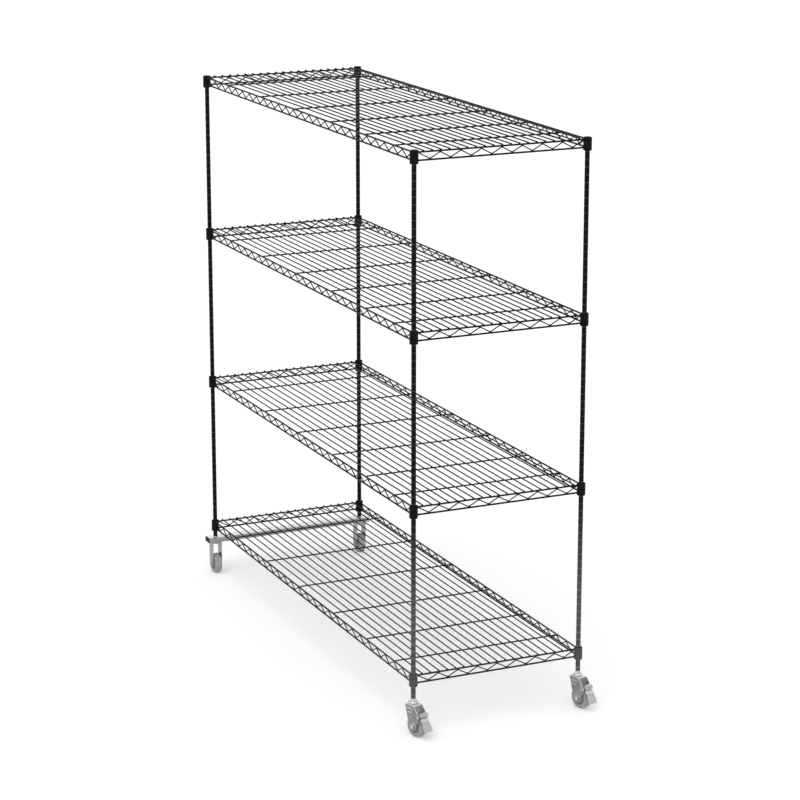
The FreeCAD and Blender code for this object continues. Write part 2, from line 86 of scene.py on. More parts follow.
# Places and sizes that come from the solids
POSTS = {corner: middle("post_" + corner) for corner in CORNERS}
POST_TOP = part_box("post_front_left")[1].z
DECK_RISE = 0.1 * MM         # from the middle of a collar up to the middle of its shelf's box
SHELF_MIDDLES = [middle("shelf_" + name).z - DECK_RISE for name in SHELVES]
WHEEL_RADIUS = extent("rear_tread_left").z / 2
WHEEL_HALF_WIDTH = extent("rear_tread_left").x / 2
HUB_HALF_WIDTH = extent("rear_wheel_core_left").x / 2
CORE_RADIUS = extent("rear_wheel_core_left").z / 2
FORK_HALF_WIDTH = extent("rigid_fork_left").x / 2
RIGID_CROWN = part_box("rigid_fork_left")[1].z
SWIVEL_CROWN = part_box("swivel_fork_left")[1].z
SWIVEL_AT = Vector(joints["swivel_left"]["pos_m"])
SPIN_AT = Vector(joints["front_spin_left"]["pos_m"])
BRAKE_AT = Vector(joints["brake_press_left"]["pos_m"])
TRAIL = (SPIN_AT.xy - SWIVEL_AT.xy).length
BRAKE_REACH = (BRAKE_AT.xy - SWIVEL_AT.xy).length
FRONT_HEADING = math.atan2(SPIN_AT.y - SWIVEL_AT.y, SPIN_AT.x - SWIVEL_AT.x)
REAR_HEADING = math.pi / 2
HALF_X = POSTS["front_right"].x
HALF_Y = POSTS["rear_left"].y
POST_NODES = ["post_" + corner for corner in CORNERS]
POST_RADIUS = extent("post_front_left").x / 2
STEM_ENDS = [corner.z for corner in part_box("caster_stem_left")]
RACE_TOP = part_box("race_cup_left")[1].z

# Places that the solids' boxes don't give, from the shelves' design: heights are from a collar's middle
CHORD_RADIUS = 3 * MM
CHORD_HEIGHTS = (14 * MM, -12 * MM)
DECK_CONTACT = 16.75 * MM
HIGH_CONTACT = 11.2 * MM
LOW_CONTACT = -9.2 * MM
CROSS_STEPS = [step * MM for step in (149, 233, 285, 311, 316, 313)]
GROOVE_PITCH = 25 * MM

# Middle of a foot pedal's plate at its two ends, as reach from the post and height
PEDAL_TOP = Vector((67.34, 51.97)) * MM
PEDAL_TIP = Vector((79.32, 32.83)) * MM
PEDAL_HALF_PLATE = 1.25 * MM
PEDAL_RIBS = (0.32, 0.56, 0.8)       # places of the ribs, as shares of the way down

# Swages of a fork: depth under its crown, length in millimetres, and shift as a share of the trail
SWAGES = ((14 * MM, 30), (27 * MM, 22))
SWAGE_SHIFT = 0.25


def colour_field(label, words, value):
    """Property for the colour of a finish."""
    return FloatVectorProperty(name=label, description=words, subtype="COLOR", size=4, min=0, max=1,
                               default=(*value, 1.0))


def length_field(label, words, value):
    """Property for a size that is given in millimetres."""
    return FloatProperty(name=label, description=words, default=value * MM, unit="LENGTH",
                         subtype="DISTANCE", min=0)


class ShelvingFinishes(bpy.types.PropertyGroup):
    """Colours of the unit's finishes."""

    epoxy: colour_field("Epoxy", "Powder coat of posts and shelves", (0.0035, 0.0035, 0.004))
    # Dust colour, also used for the painted floor reflection low on the swivel-end posts and its groove glints
    dust_and_reflection: colour_field("Dust", "Floor dust low on the posts", (0.105, 0.105, 0.105))
    plastic: colour_field("Plastic", "Moulded sleeves, caps and plugs", (0.004, 0.004, 0.0045))
    bar: colour_field("Bar", "Zinc plate of the rear bar", (0.36, 0.365, 0.37))
    fork: colour_field("Fork", "Zinc plate of the caster forks", (0.28, 0.285, 0.29))
    pedal: colour_field("Pedal", "Zinc plate of the brake pedals", (0.27, 0.275, 0.28))
    fastener: colour_field("Fastener", "Bright plate of bolts, nuts and stems", (0.55, 0.56, 0.57))
    ball: colour_field("Ball", "Polished steel of the swivel balls", (0.80, 0.80, 0.82))
    core: colour_field("Wheel core", "Moulded grey plastic of the wheels", (0.44, 0.44, 0.45))
    tread: colour_field("Tread", "Grey non-marking rubber", (0.36, 0.36, 0.365))
    shoe: colour_field("Brake shoe", "Black rubber of the brake shoes", (0.03, 0.03, 0.03))


class ShelvingSizes(bpy.types.PropertyGroup):
    """Sizes of the small pieces."""

    deck_wires: IntProperty(name="Deck wires", description="Long wires between the side chords",
                            default=19)
    bead_width: length_field("Bead width", "Width of a weld bead across a wire", 6.8)
    bead_height: length_field("Bead height", "Height of a weld bead", 3.2)
    collar_radius: length_field("Collar radius", "Outside radius of the shelf collars", 14.25)
    fillet: length_field("Fillet", "Length of the weld that joins a chord to a collar", 5.5)
    snake_pitch: length_field("Zigzag pitch", "Length of a wave of the zigzag wire, about", 70.0)
    snake_clear: length_field("Zigzag end", "From a post's axis to the end of the zigzag wire", 18.25)
    cap_head: length_field("Cap head", "Height of a post cap over the tube", 2.5)
    cap_plug: length_field("Cap plug", "Radius of the plug in the tube", 6.78)
    tread_shoulder: length_field("Tread shoulder", "Radius of the tyre's shoulders", 3.5)
    tread_crown: length_field("Tread crown", "Fall of the tyre from its middle to its shoulders", 0.35)
    rib_count: IntProperty(name="Core ribs", description="Ribs on each wheel core", default=10)
    rib_width: length_field("Core rib", "Thickness of a wheel core's rib", 2.2)
    hex_axle: length_field("Axle hexagon", "Width across the flats of axle bolts and nuts", 13.0)
    hex_stem: length_field("Stem hexagon", "Width across the flats of the caster stems", 22.0)
    axle: length_field("Axle", "Diameter of the axle bolts", 8.0)
    stem: length_field("Stem", "Diameter of the caster stems", 10.0)
    pin: length_field("Brake pin", "Diameter of the brake pins", 5.0)
    press_height: length_field("Pressing", "Height of the forks' rings, half that of their swages", 1.2)
    pedal_width: length_field("Pedal width", "Width of the foot pedals", 34.0)


class ShelvingStudio(bpy.types.PropertyGroup):
    """Floor, light and camera."""

    floor: colour_field("Floor", "Colour of the floor", (0.93, 0.93, 0.93))
    lift: FloatProperty(name="Floor lift", description="White that the eye sees over the lit floor",
                        default=0.25, min=0)
    ambient: FloatProperty(name="Ambient", description="Strength of the even light", default=0.62, min=0)
    key: FloatProperty(name="Key light", description="Strength of the soft light from above", default=1.0,
                       min=0)
    lens: FloatProperty(name="Lens", description="Focal length", default=118.0, unit="CAMERA")
    eye: FloatVectorProperty(name="Camera", description="Place of the camera", subtype="TRANSLATION",
                             default=(-3.6844, -8.2092, 3.2802))
    aim: FloatVectorProperty(name="Aim", description="Point that the camera looks at",
                             subtype="TRANSLATION", default=(0.0539, -0.0242, 0.8801))


def clear_selection():
    """Object mode with nothing selected."""
    if bpy.context.mode != "OBJECT":
        bpy.ops.object.mode_set(mode="OBJECT")
    bpy.ops.object.select_all(action="DESELECT")


def choose(piece):
    """Select one piece alone."""
    clear_selection()
    piece.select_set(True)
    bpy.context.view_layer.objects.active = piece


def pick_faces(piece, test):
    """In edit mode, select the faces that pass a test."""
    edit = bmesh.from_edit_mesh(piece.data)
    bpy.ops.mesh.select_all(action="DESELECT")
    for face in edit.faces:
        face.select_set(test(face))
    bmesh.update_edit_mesh(piece.data)


def pick_vertices(piece, test):
    """In edit mode, select the vertices that pass a test."""
    edit = bmesh.from_edit_mesh(piece.data)
    bpy.ops.mesh.select_all(action="DESELECT")
    for vertex in edit.verts:
        vertex.select_set(test(vertex))
    edit.select_flush(True)
    bmesh.update_edit_mesh(piece.data)


def close_skin():
    """In edit mode, merge doubles and turn every face outwards, then leave edit mode."""
    bpy.ops.mesh.select_all(action="SELECT")
    bpy.ops.mesh.remove_doubles(threshold=MERGE)
    bpy.ops.mesh.normals_make_consistent(inside=False)
    bpy.ops.object.mode_set(mode="OBJECT")


def arc(centre, radius, start, end, steps=6):
    """Points of an arc in a profile, with its angles in degrees."""
    points = []
    for i in range(steps + 1):
        turn = math.radians(start + (end - start) * i / steps)
        points.append((centre[0] + radius * math.cos(turn), centre[1] + radius * math.sin(turn)))
    return points


def turned_piece(name, profile, steps=64):
    """Solid of revolution about Z: a point is extruded along (radius, height) points, then spun."""
    clear_selection()
    bpy.ops.mesh.primitive_plane_add(size=MM)
    piece = bpy.context.object
    piece.name = name
    bpy.ops.object.mode_set(mode="EDIT")
    bpy.ops.mesh.merge(type="CENTER")
    bpy.ops.transform.translate(value=(profile[0][0], 0, profile[0][1]))
    for (radius, height), (next_radius, next_height) in zip(profile, profile[1:]):
        step = (next_radius - radius, 0, next_height - height)
        bpy.ops.mesh.extrude_region_move(TRANSFORM_OT_translate={"value": step})
    bpy.ops.mesh.select_all(action="SELECT")
    bpy.ops.mesh.spin(steps=steps, angle=2 * math.pi, center=(0, 0, 0), axis=(0, 0, 1))
    close_skin()
    return piece


def apply_modifier(piece, kind, **settings):
    """Add a modifier, set it and apply it."""
    choose(piece)
    bpy.ops.object.modifier_add(type=kind)
    modifier = piece.modifiers[-1]
    for name, value in settings.items():
        setattr(modifier, name, value)
    bpy.ops.object.modifier_apply(modifier=modifier.name)


def combine(piece, tool, operation):
    """Unite, cut or intersect a piece with a tool that is then gone."""
    apply_modifier(piece, "BOOLEAN", object=tool, operation=operation, solver="EXACT")
    bpy.data.objects.remove(tool)


def smooth(piece):
    """Shade a piece smooth up to its sharp edges."""
    choose(piece)
    bpy.ops.object.shade_smooth_by_angle(angle=SMOOTH_ANGLE)


def soften(piece, width, segments):
    """Round the sharp edges a little and shade the piece smooth."""
    apply_modifier(piece, "BEVEL", width=width, segments=segments, limit_method="ANGLE",
                   angle_limit=SMOOTH_ANGLE, harden_normals=False)
    smooth(piece)


def settle(piece, place=(0, 0, 0), turn=(0, 0, 0)):
    """Turn and move a piece, and put its place in its mesh."""
    choose(piece)
    piece.rotation_euler = turn
    piece.location = place
    bpy.ops.object.transform_apply(location=True, rotation=True, scale=True)
    return piece


def copy_of(template, name, place=(0, 0, 0), heading=0.0):
    """Own copy of a template, turned about Z and moved."""
    choose(template)
    bpy.ops.object.duplicate(linked=False)
    piece = bpy.context.object
    piece.name = name
    piece.data.name = name
    return settle(piece, place, (0, 0, heading))


def join(pieces):
    """One piece from several that share a finish."""
    clear_selection()
    for piece in pieces:
        piece.select_set(True)
    bpy.context.view_layer.objects.active = pieces[0]
    bpy.ops.object.join()
    return pieces[0]


def hexagon(name, across_flats, height, both_ends=False):
    """Hexagon standing on z = 0 with its corners turned off at the top, or at both ends."""
    clear_selection()
    corner = across_flats / math.sqrt(3)
    bpy.ops.mesh.primitive_cylinder_add(vertices=6, radius=corner, depth=height)
    prism = bpy.context.object
    prism.name = name
    settle(prism, (0, 0, height / 2))
    face = 0.47 * across_flats
    outer = 1.05 * corner
    fall = (outer - face) * math.tan(CHAMFER)
    foot = [(0, 0), (face, 0), (outer, fall)] if both_ends else [(0, -MM), (outer, -MM)]
    lens = turned_piece("hexagon_turning", foot + [(outer, height - fall), (face, height), (0, height)])
    combine(prism, lens, "INTERSECT")
    return prism


def tapered_bar(size, top, ease):
    """Bar of a size in millimetres, its top narrowed by factors along X and Y and its edges rounded."""
    clear_selection()
    bpy.ops.mesh.primitive_cube_add(size=MM)
    bar = bpy.context.object
    bpy.ops.object.mode_set(mode="EDIT")
    bpy.ops.mesh.select_all(action="SELECT")
    bpy.ops.transform.resize(value=size)
    pick_faces(bar, lambda face: face.normal.z > FACES_UP)
    bpy.ops.transform.resize(value=(*top, 1))
    close_skin()
    soften(bar, ease, 3)
    return bar


def dress(piece, body, slot, *nodes):
    """Give a piece its body, its slot and finish, and the solids that it stands for."""
    piece.data.materials.clear()
    piece.data.materials.append(bpy.data.materials[slot + "_finish"])
    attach(piece, body)
    if nodes:
        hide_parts(*nodes)


def row_of(template, count, start, step):
    """Row of copies of a template, from a start with a step."""
    row = copy_of(template, "row", start)
    apply_modifier(row, "ARRAY", count=count, use_relative_offset=False, use_constant_offset=True,
                   constant_offset_displace=step)
    return row


def on_caster(template, name, trail, heading, place):
    """Copy of a piece that is turned about Z, laid on a caster's axle."""
    laid = settle(copy_of(template, name), (trail, 0, WHEEL_RADIUS), (-math.pi / 2, 0, 0))
    return settle(laid, place, (0, 0, heading))


def on_swivel(template, name, side):
    """Copy of a piece that is modelled about a swivel's axis, turned and put under its front post."""
    post = POSTS["front_" + side]
    return copy_of(template, name, (post.x, post.y, 0), FRONT_HEADING)


def drop(*templates):
    """Remove templates once their copies are made."""
    for template in templates:
        bpy.data.objects.remove(template)


def casters():
    """Each caster's end, side, fork body, wheel body, trail, heading and place under its post."""
    for end, trail, heading in (("front", TRAIL, FRONT_HEADING), ("rear", 0.0, REAR_HEADING)):
        for side in SIDES:
            post = POSTS[f"{end}_{side}"]
            fork = "caster_" + side if end == "front" else "frame"
            yield end, side, fork, f"{end}_wheel_{side}", trail, heading, (post.x, post.y, 0)


def ring(profile):
    """Profile that comes back to its first point."""
    return profile + profile[:1]


class Finish:
    """A node material under construction, with textures in object space."""

    def __init__(self, slot):
        self.material = bpy.data.materials.new(slot + "_finish")
        self.material.use_nodes = True
        self.tree = self.material.node_tree
        self.tree.nodes.clear()
        output = self.tree.nodes.new("ShaderNodeOutputMaterial")
        self.shader = self.tree.nodes.new("ShaderNodeBsdfPrincipled")
        self.link(self.shader.outputs["BSDF"], output.inputs["Surface"])
        self.place = self.tree.nodes.new("ShaderNodeTexCoord").outputs["Object"]

    def link(self, source, target):
        self.tree.links.new(source, target)

    def noise(self, scale, detail=3.0, stretch=(1, 1, 1)):
        """Noise value with a number of waves per metre, stretched along an axis where asked."""
        mapping = self.tree.nodes.new("ShaderNodeMapping")
        mapping.inputs["Scale"].default_value = stretch
        texture = self.tree.nodes.new("ShaderNodeTexNoise")
        texture.inputs["Scale"].default_value = scale
        texture.inputs["Detail"].default_value = detail
        self.link(self.place, mapping.inputs["Vector"])
        self.link(mapping.outputs["Vector"], texture.inputs["Vector"])
        return texture.outputs["Fac"]

    def varied(self, scale, low, high, detail=3.0):
        """Noise that varies between two values."""
        return self.spread(self.noise(scale, detail), *NOISE_RANGE, low, high)

    def part(self, vector, axis):
        """One part of a vector."""
        parts = self.tree.nodes.new("ShaderNodeSeparateXYZ")
        self.link(vector, parts.inputs["Vector"])
        return parts.outputs[axis]

    def upward(self):
        """1 on faces that look up, 0 on the others."""
        level = (0.2, 1.0)
        normal = self.tree.nodes.new("ShaderNodeNewGeometry").outputs["Normal"]
        return self.spread(self.part(normal, "Z"), *level, 0.0, 1.0)

    def maths(self, operation, source, number):
        """A value worked on with a number."""
        node = self.tree.nodes.new("ShaderNodeMath")
        node.operation = operation
        node.inputs[1].default_value = number
        self.link(source, node.inputs[0])
        return node.outputs["Value"]

    def by_post(self):
        """1 on posts and collars, less on the wires between them."""
        past_collar = (14.6 * MM, 16 * MM)
        aside = self.maths("SUBTRACT", self.maths("ABSOLUTE", self.part(self.place, "X"), 0), HALF_X)
        return self.spread(self.maths("ABSOLUTE", aside, 0), *past_collar, 1.0, 0.25)

    def painted_floor_reflection(self):
        """Share of a painted reflection of the floor: most at the foot of the swivel end, none high up or at the
        rigid end.
        """
        heights = (0.42, 0.74)
        depths = (-0.93, -0.2)
        low = self.spread(self.part(self.place, "Z"), *heights, 1.0, 0.0)
        front = self.spread(self.part(self.place, "Y"), *depths, 1.0, 0.0)
        patchy = self.varied(60.0, 0.75, 1.0, 4.0)
        return self.times(self.times(low, front), self.times(self.by_post(), patchy))

    def grooves(self):
        """1 in the ring grooves of the posts, 0 between them."""
        flank = (1.0 * MM, 2.0 * MM)
        height = self.maths("SUBTRACT", self.part(self.place, "Z"), SHELF_MIDDLES[0])
        return self.spread(self.maths("PINGPONG", height, GROOVE_PITCH / 2), *flank, 1.0, 0.0)

    def corners(self):
        """Painted shade: 0.8 deep in corners and gaps, 0 on open faces."""
        reach = 9 * MM
        openness = (0.2, 0.8)
        node = self.tree.nodes.new("ShaderNodeAmbientOcclusion")
        node.inputs["Distance"].default_value = reach
        return self.spread(node.outputs["AO"], *openness, 0.8, 0.0)

    def edges(self):
        """0.9 on the bends and edges of a piece, 0 on its flats."""
        reach = 1.6 * MM
        flatness = (0.86, 0.99)
        eased = self.tree.nodes.new("ShaderNodeBevel")
        eased.samples = 6
        eased.inputs["Radius"].default_value = reach
        normal = self.tree.nodes.new("ShaderNodeNewGeometry").outputs["Normal"]
        match = self.tree.nodes.new("ShaderNodeVectorMath")
        match.operation = "DOT_PRODUCT"
        self.link(eased.outputs["Normal"], match.inputs[0])
        self.link(normal, match.inputs[1])
        return self.spread(match.outputs["Value"], *flatness, 0.9, 0.0)

    def spread(self, source, from_low, from_high, low, high):
        """Map a value from one range to another."""
        node = self.tree.nodes.new("ShaderNodeMapRange")
        node.inputs["From Min"].default_value = from_low
        node.inputs["From Max"].default_value = from_high
        node.inputs["To Min"].default_value = low
        node.inputs["To Max"].default_value = high
        self.link(source, node.inputs["Value"])
        return node.outputs["Result"]

    def times(self, first, second):
        """Product of two values."""
        node = self.tree.nodes.new("ShaderNodeMath")
        node.operation = "MULTIPLY"
        self.link(first, node.inputs[0])
        self.link(second, node.inputs[1])
        return node.outputs["Value"]

    def blend(self, share, first, second):
        """Colour between two colours, either of which may be a socket."""
        node = self.tree.nodes.new("ShaderNodeMix")
        node.data_type = "RGBA"
        self.link(share, node.inputs["Factor"])
        for name, colour in (("A", first), ("B", second)):
            socket = [s for s in node.inputs if s.name == name and s.type == "RGBA"][0]
            if isinstance(colour, bpy.types.NodeSocket):
                self.link(colour, socket)
            else:
                socket.default_value = colour
        return [s for s in node.outputs if s.type == "RGBA"][0]

    def set(self, name, value):
        """Set or link one of the shader's sockets."""
        if isinstance(value, bpy.types.NodeSocket):
            self.link(value, self.shader.inputs[name])
        else:
            self.shader.inputs[name].default_value = value

    def bump(self, *layers):
        """Relief from (value, height in metres) layers, the coarse one first."""
        normal = None
        for value, height in layers:
            node = self.tree.nodes.new("ShaderNodeBump")
            node.inputs["Distance"].default_value = height
            self.link(value, node.inputs["Height"])
            if normal is not None:
                self.link(normal, node.inputs["Normal"])
            normal = node.outputs["Normal"]
        self.link(normal, self.shader.inputs["Normal"])


def scaled(colour, factor):
    """A lighter or darker copy of a colour."""
    return (*(min(1.0, channel * factor) for channel in colour[:3]), 1.0)


def epoxy_finish(slot, colour, dust_and_reflection_colour, grooved):
    """Semi-gloss black powder coat with orange-peel skin and dust specks; painted groove glints and floor
    reflection.
    """
    finish = Finish(slot)
    mottle = finish.noise(18.0)
    coat = finish.blend(finish.spread(mottle, 0.35, 0.65, 0, 1), scaled(colour, 0.7), scaled(colour, 1.5))
    specks = finish.times(finish.upward(), finish.spread(finish.noise(45.0, 5.0), 0.45, 0.75, 0.0, 0.15))
    coat = finish.blend(specks, coat, dust_and_reflection_colour)
    if grooved:
        # Painted highlight: lighter ticks in the ring grooves of the posts
        wear_and_highlight = finish.times(finish.grooves(), finish.varied(90.0, 0.2, 0.5))
        coat = finish.blend(wear_and_highlight, coat, scaled(dust_and_reflection_colour, 1.2))
        # Painted highlight: the grooves brighter still within the painted floor reflection
        dust_and_reflection_colour = finish.blend(finish.grooves(), dust_and_reflection_colour, scaled(dust_and_reflection_colour, 2.4))
    # Painted reflection of the floor: lighter grey low on the swivel-end posts
    finish.set("Base Color", finish.blend(finish.painted_floor_reflection(), coat, dust_and_reflection_colour))
    finish.set("Roughness", finish.varied(130.0, 0.30, 0.48))
    finish.set("Specular IOR Level", 0.08)
    finish.bump((finish.noise(420.0, 2.0), 0.06 * MM), (finish.noise(2600.0, 1.0), 0.012 * MM))


def plastic_finish(colour):
    """Black moulding with a fine eroded grain."""
    finish = Finish("black_plastic")
    finish.set("Base Color", finish.blend(finish.noise(60.0), scaled(colour, 0.8), scaled(colour, 1.5)))
    finish.set("Roughness", finish.varied(300.0, 0.45, 0.6))
    finish.set("Specular IOR Level", 0.12)
    finish.bump((finish.noise(1900.0, 2.0), 0.025 * MM))


def zinc_finish(slot, colour, shine, brush, wear_and_highlight):
    """Zinc plate with cloudy crystals and dulled patches, painted shade in its corners, painted highlights on its
    edges and top.

    Shine is the least roughness, brush the stretch of the brush marks, rubbed how much brighter the painted
    highlights are.
    """
    finish = Finish(slot)
    clouds = finish.spread(finish.noise(55.0, 4.0), 0.35, 0.68, 0.0, 1.0)
    plate = finish.blend(clouds, scaled(colour, 0.8), scaled(colour, 1.15))
    dulled = finish.spread(finish.noise(24.0, 5.0), 0.52, 0.72, 0.0, 0.6)
    plate = finish.blend(dulled, plate, scaled(colour, 0.62))
    # Painted shade: the plate darker in corners and gaps
    plate = finish.blend(finish.corners(), plate, scaled(colour, 0.25))
    # Painted highlights: lighter along edges and bends, and on faces that look up
    plate = finish.blend(finish.edges(), plate, scaled(colour, wear_and_highlight))
    finish.set("Base Color", finish.blend(finish.upward(), plate, scaled(colour, wear_and_highlight)))
    finish.set("Metallic", 0.8)
    finish.set("Roughness", finish.varied(150.0, shine, shine + 0.18, 4.0))
    finish.bump((finish.noise(900.0, 2.0, brush), 0.012 * MM), (finish.noise(70.0), 0.05 * MM))


def ball_finish(colour):
    """Polished bearing steel with faint running marks."""
    finish = Finish("ball_steel")
    finish.set("Base Color", finish.blend(finish.noise(800.0), scaled(colour, 0.9), colour))
    finish.set("Metallic", 1.0)
    finish.set("Roughness", finish.varied(600.0, 0.06, 0.16))


def core_finish(colour):
    """Grey moulded plastic with flow marks."""
    finish = Finish("core_plastic")
    flow = finish.noise(38.0, 4.0)
    finish.set("Base Color", finish.blend(flow, scaled(colour, 0.82), scaled(colour, 1.15)))
    finish.set("Roughness", finish.varied(260.0, 0.38, 0.55))
    finish.bump((finish.noise(1500.0, 2.0), 0.02 * MM))


def tread_finish(colour):
    """Grey rubber with a fine grain and floor dust in patches."""
    finish = Finish("tread_rubber")
    dusty = finish.spread(finish.noise(70.0, 6.0), 0.42, 0.72, 0.0, 0.55)
    finish.set("Base Color", finish.blend(dusty, colour, scaled(colour, 1.7)))
    finish.set("Roughness", finish.varied(320.0, 0.62, 0.85))
    finish.set("Specular IOR Level", 0.3)
    finish.bump((finish.noise(1100.0, 3.0), 0.04 * MM))


def shoe_finish(colour):
    """Black rubber, rubbed grey where it meets the tyre."""
    finish = Finish("shoe_rubber")
    wear_and_highlight = finish.spread(finish.noise(160.0, 5.0), 0.45, 0.7, 0.0, 0.5)
    finish.set("Base Color", finish.blend(wear_and_highlight, colour, scaled(colour, 2.6)))
    finish.set("Roughness", finish.varied(400.0, 0.6, 0.8))
    finish.bump((finish.noise(1300.0, 2.0), 0.04 * MM))


class SHELVING_OT_finish_solids(bpy.types.Operator):
    """Make the finishes and give every solid the one of its slot"""

    bl_idname = "shelving.finish_solids"
    bl_label = "Finish solids"

    def execute(self, context):
        colours = context.scene.shelving_finishes
        epoxy_finish("black_epoxy", colours.epoxy, colours.dust_and_reflection, grooved=False)
        epoxy_finish("post_epoxy", colours.epoxy, colours.dust_and_reflection, grooved=True)
        plastic_finish(colours.plastic)
        # The last number of each zinc finish is how much its painted highlights brighten it
        zinc_finish("bar_zinc", colours.bar, shine=0.16, brush=(0.04, 1, 1), wear_and_highlight=2.2)
        zinc_finish("fork_zinc", colours.fork, shine=0.2, brush=(1, 1, 0.08), wear_and_highlight=3.0)
        zinc_finish("pedal_zinc", colours.pedal, shine=0.2, brush=(0.1, 1, 1), wear_and_highlight=3.2)
        zinc_finish("fastener_zinc", colours.fastener, shine=0.14, brush=(1, 1, 1), wear_and_highlight=1.7)
        ball_finish(colours.ball)
        core_finish(colours.core)
        tread_finish(colours.tread)
        shoe_finish(colours.shoe)
        for row in record["subparts"]:
            solid = frame["nodes"][row["node"]]
            finish = "post_epoxy" if row["node"] in POST_NODES else row["material_slot"]
            solid.material_slots[0].material = bpy.data.materials[finish + "_finish"]
        return {"FINISHED"}


class SHELVING_OT_weld_beads(bpy.types.Operator):
    """Model the weld beads of one shelf and copy them to every shelf"""

    bl_idname = "shelving.weld_beads"
    bl_label = "Weld beads"

    def execute(self, context):
        sizes = context.scene.shelving_sizes
        bead = self.make_bead(sizes)
        rows = self.deck_rows(bead, sizes) + self.snake_rows(bead, sizes) + self.flares(sizes)
        beads = join(rows)
        for name, height in zip(SHELVES, SHELF_MIDDLES):
            dress(copy_of(beads, "weld_beads_" + name, (0, 0, height)), "frame", "black_epoxy")
        drop(bead, beads)
        return {"FINISHED"}

    def make_bead(self, sizes):
        """Lens of molten wire: a coarse ball flattened, its ends drawn out along the deck wire."""
        clear_selection()
        bpy.ops.mesh.primitive_uv_sphere_add(segments=8, ring_count=5, radius=sizes.bead_width / 2)
        bead = bpy.context.object
        bpy.ops.object.mode_set(mode="EDIT")
        bpy.ops.mesh.select_all(action="SELECT")
        bpy.ops.transform.resize(value=(1, 1, sizes.bead_height / sizes.bead_width))
        waist = 0.4 * sizes.bead_width
        drawn_out = (0.8, 1.15, 0.7)
        pick_vertices(bead, lambda vertex: abs(vertex.co.y) > waist)
        bpy.ops.transform.resize(value=drawn_out)
        close_skin()
        bpy.ops.object.shade_smooth()
        return bead

    def deck_rows(self, bead, sizes):
        """A bead where each deck wire crosses an end chord or a cross wire."""
        pitch = 2 * HALF_X / (sizes.deck_wires + 1)
        places = [-HALF_Y, HALF_Y]
        place = -HALF_Y
        for step in CROSS_STEPS:
            place += step
            places.append(place)
        start = pitch - HALF_X
        return [row_of(bead, sizes.deck_wires, (start, y, DECK_CONTACT), (pitch, 0, 0)) for y in places]

    def snake_rows(self, bead, sizes):
        """A bead at every bend of the zigzag wires, on all four sides."""
        rows = []
        for axis, half, other in ((0, HALF_X, HALF_Y), (1, HALF_Y, HALF_X)):
            span = 2 * (half - sizes.snake_clear)
            waves = round(span / sizes.snake_pitch)
            wave = span / waves
            step = [0, 0, 0]
            step[axis] = wave
            low = (LOW_CONTACT, waves, wave / 2)
            high = (HIGH_CONTACT, waves - 1, wave)
            for side in (-other, other):
                for height, count, first in (low, high):
                    start = [side, side, height]
                    start[axis] = first - span / 2
                    rows.append(row_of(bead, count, start, step))
        return rows

    def flares(self, sizes):
        """Flared weld round each chord's end, on both levels at every corner."""
        reach = sizes.fillet
        inner = CHORD_RADIUS - 0.1 * MM
        in_wall = -0.8 * MM
        profile = [(inner, reach), (CHORD_RADIUS + 0.4 * MM, 0.5 * reach),
                   (CHORD_RADIUS + 1.3 * MM, 0.15 * reach), (CHORD_RADIUS + 2.2 * MM, in_wall),
                   (inner, in_wall)]
        flare = turned_piece("flare", ring(profile), steps=12)
        smooth(flare)
        flares = []
        for place in POSTS.values():
            across = -math.copysign(1, place.x)
            along = -math.copysign(1, place.y)
            for height in CHORD_HEIGHTS:
                side = (place.x + across * sizes.collar_radius, place.y, height)
                flares.append(settle(copy_of(flare, "flare"), side, (0, across * math.pi / 2, 0)))
                side = (place.x, place.y + along * sizes.collar_radius, height)
                flares.append(settle(copy_of(flare, "flare"), side, (-along * math.pi / 2, 0, 0)))
        drop(flare)
        return flares


class SHELVING_OT_post_caps(bpy.types.Operator):
    """Model a domed cap with its plug and copy it to every post"""

    bl_idname = "shelving.post_caps"
    bl_label = "Post caps"

    def execute(self, context):
        sizes = context.scene.shelving_sizes
        rim = POST_RADIUS - 0.1 * MM
        top = sizes.cap_head
        plug = sizes.cap_plug
        foot = -14 * MM
        lead_in, lead_up = 0.8 * MM, 1.5 * MM
        turn = 1.5 * MM
        dish = top - 0.4 * MM
        profile = [(0, foot), (plug - lead_in, foot), (plug, foot + lead_up), (plug, 0), (rim, 0)]
        profile += arc((rim - turn, top - turn), turn, 0, 90)
        profile += [(0.42 * rim, top), (0.36 * rim, dish), (0, dish)]
        cap = turned_piece("cap", profile)
        smooth(cap)
        for corner, place in POSTS.items():
            piece = copy_of(cap, "cap_" + corner, (place.x, place.y, POST_TOP))
            dress(piece, "frame", "black_plastic", "post_cap_" + corner)
        drop(cap)
        return {"FINISHED"}


class SHELVING_OT_treads(bpy.types.Operator):
    """Model a crowned tyre with ringed sides and put one on every wheel"""

    bl_idname = "shelving.treads"
    bl_label = "Treads"

    def execute(self, context):
        sizes = context.scene.shelving_sizes
        half = WHEEL_HALF_WIDTH
        rim = WHEEL_RADIUS - sizes.tread_crown
        inner = CORE_RADIUS + 0.02 * MM
        shoulder = sizes.tread_shoulder
        flat = half - shoulder
        groove = 0.5 * MM - half
        starts, sinks, rises, ends = (inner + step * MM for step in (1.3, 1.7, 2.5, 2.9))
        low = [(inner, -half), (starts, -half), (sinks, groove), (rises, groove), (ends, -half)]
        low += arc((rim - shoulder, -flat), shoulder, -90, 0)
        crown = []
        for share in (-0.66, -0.33, 0, 0.33, 0.66):
            crown.append((WHEEL_RADIUS - sizes.tread_crown * share ** 2, share * flat))
        high = [(radius, -height) for radius, height in reversed(low)]
        tyre = turned_piece("tyre", ring(low + crown + high), steps=72)
        smooth(tyre)
        for end, side, _, wheel, trail, heading, place in casters():
            piece = on_caster(tyre, f"{end}_tyre_{side}", trail, heading, place)
            dress(piece, wheel, "tread_rubber", f"{end}_tread_{side}")
        drop(tyre)
        return {"FINISHED"}


